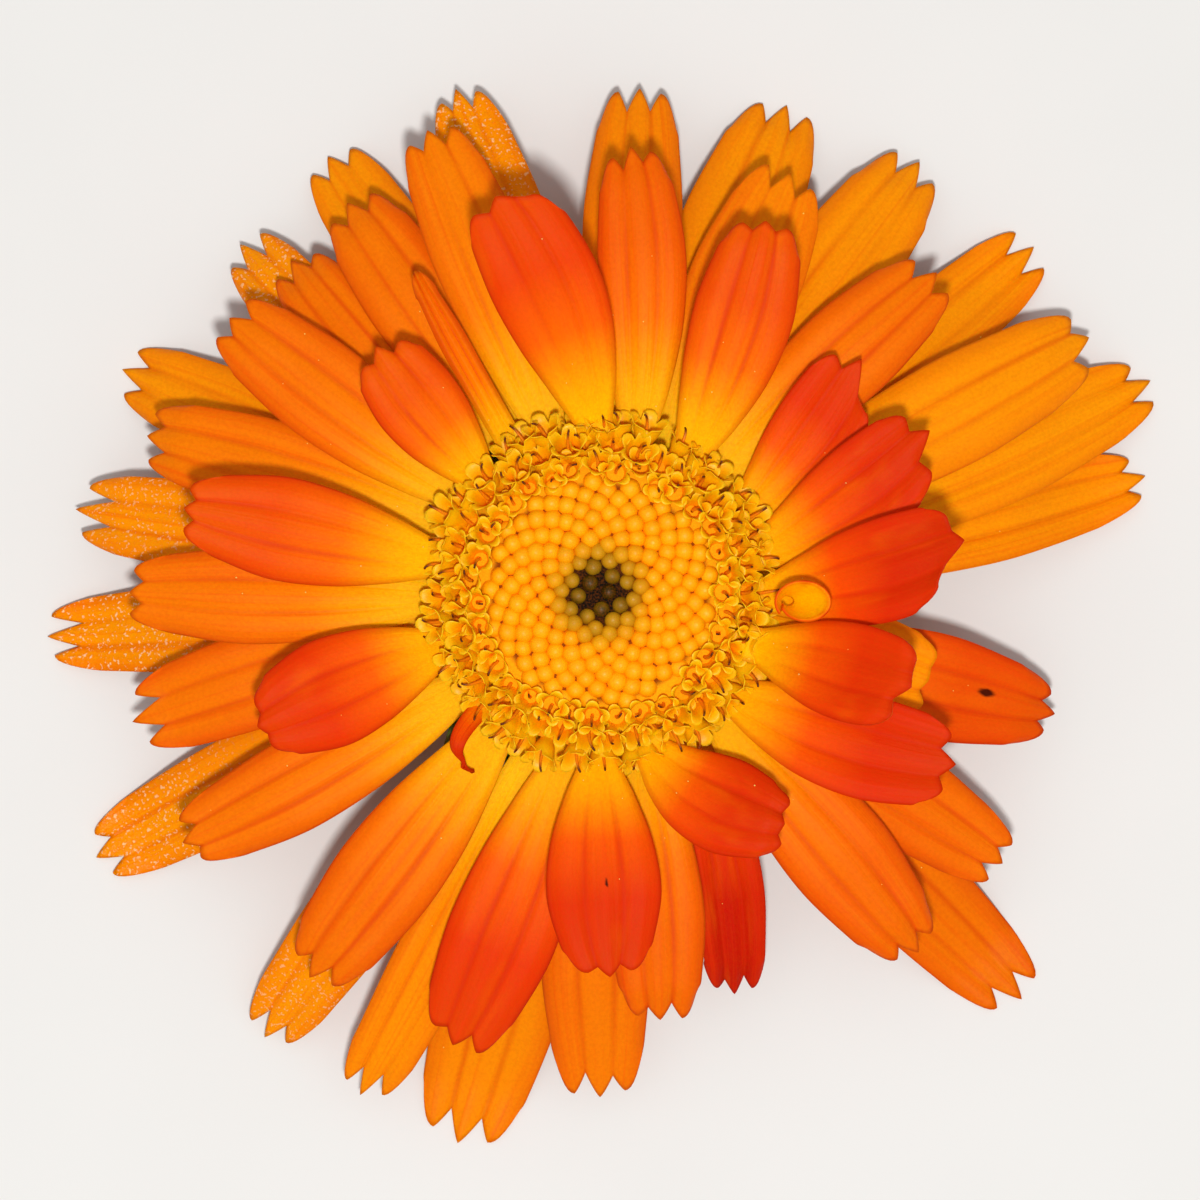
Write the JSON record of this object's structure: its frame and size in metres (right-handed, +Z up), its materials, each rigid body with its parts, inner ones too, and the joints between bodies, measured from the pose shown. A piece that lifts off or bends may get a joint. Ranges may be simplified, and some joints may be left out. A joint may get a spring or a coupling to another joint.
{
  "type": "calendula flower head",
  "caption": "Orange semi-double calendula (pot marigold) flower head, picked, lying face up on its stem stub and lowest rays",
  "frame": {"origin": "on the surface the head rests on, below the middle of its outline", "axes": "+Z up out of the face of the flower, along its stem; +X and +Y in the plane of the surface"},
  "size_m": [0.0602, 0.0578, 0.0167],
  "materials": {
    "outer_ray": "matt yellow-orange petal, paler at the claw, finely furrowed lengthwise",
    "middle_ray": "matt orange petal, yellow at the claw",
    "inner_ray": "matt red-orange petal, yellow at the claw, darker red along its edges and furrows",
    "disc_floret": "waxy yellow-orange florets with dark gaps and an olive eye",
    "green_bract": "green, finely hairy",
    "green_stem": "pale green, ribbed, finely hairy"
  },
  "bodies": {
    "root": {"outer_ray_01": "outer_ray", "outer_ray_02": "outer_ray", "outer_ray_03": "outer_ray", "outer_ray_04": "outer_ray", "outer_ray_05": "outer_ray", "outer_ray_06": "outer_ray", "outer_ray_07": "outer_ray", "outer_ray_08": "outer_ray", "outer_ray_09": "outer_ray", "outer_ray_10": "outer_ray", "outer_ray_11": "outer_ray", "outer_ray_12": "outer_ray", "outer_ray_13": "outer_ray", "outer_ray_14": "outer_ray", "outer_ray_15": "outer_ray", "outer_ray_16": "outer_ray", "outer_ray_17": "outer_ray", "outer_ray_18": "outer_ray", "outer_ray_19": "outer_ray", "outer_ray_20": "outer_ray", "outer_ray_21": "outer_ray", "middle_ray_01": "middle_ray", "middle_ray_02": "middle_ray", "middle_ray_03": "middle_ray", "middle_ray_04": "middle_ray", "middle_ray_05": "middle_ray", "middle_ray_06": "middle_ray", "middle_ray_07": "middle_ray", "middle_ray_08": "middle_ray", "middle_ray_09": "middle_ray", "middle_ray_10": "middle_ray", "middle_ray_11": "middle_ray", "middle_ray_12": "middle_ray", "middle_ray_13": "middle_ray", "middle_ray_14": "middle_ray", "middle_ray_15": "middle_ray", "middle_ray_16": "middle_ray", "inner_ray_01": "inner_ray", "inner_ray_02": "inner_ray", "inner_ray_03": "inner_ray", "inner_ray_04": "inner_ray", "inner_ray_05": "inner_ray", "inner_ray_06": "inner_ray", "inner_ray_07": "inner_ray", "inner_ray_08": "inner_ray", "inner_ray_09": "inner_ray", "inner_ray_10": "inner_ray", "inner_ray_11": "inner_ray", "inner_ray_12": "inner_ray", "inner_ray_13": "inner_ray", "inner_ray_14": "inner_ray", "curled_ray_01": "inner_ray", "curled_ray_02": "inner_ray", "rolled_ray": "inner_ray", "disc_buds": "disc_floret", "disc_open_florets": "disc_floret", "receptacle": "green_bract", "inner_bracts": "green_bract", "outer_bracts": "green_bract", "stem_stub": "green_stem"}
  },
  "joints": []
}
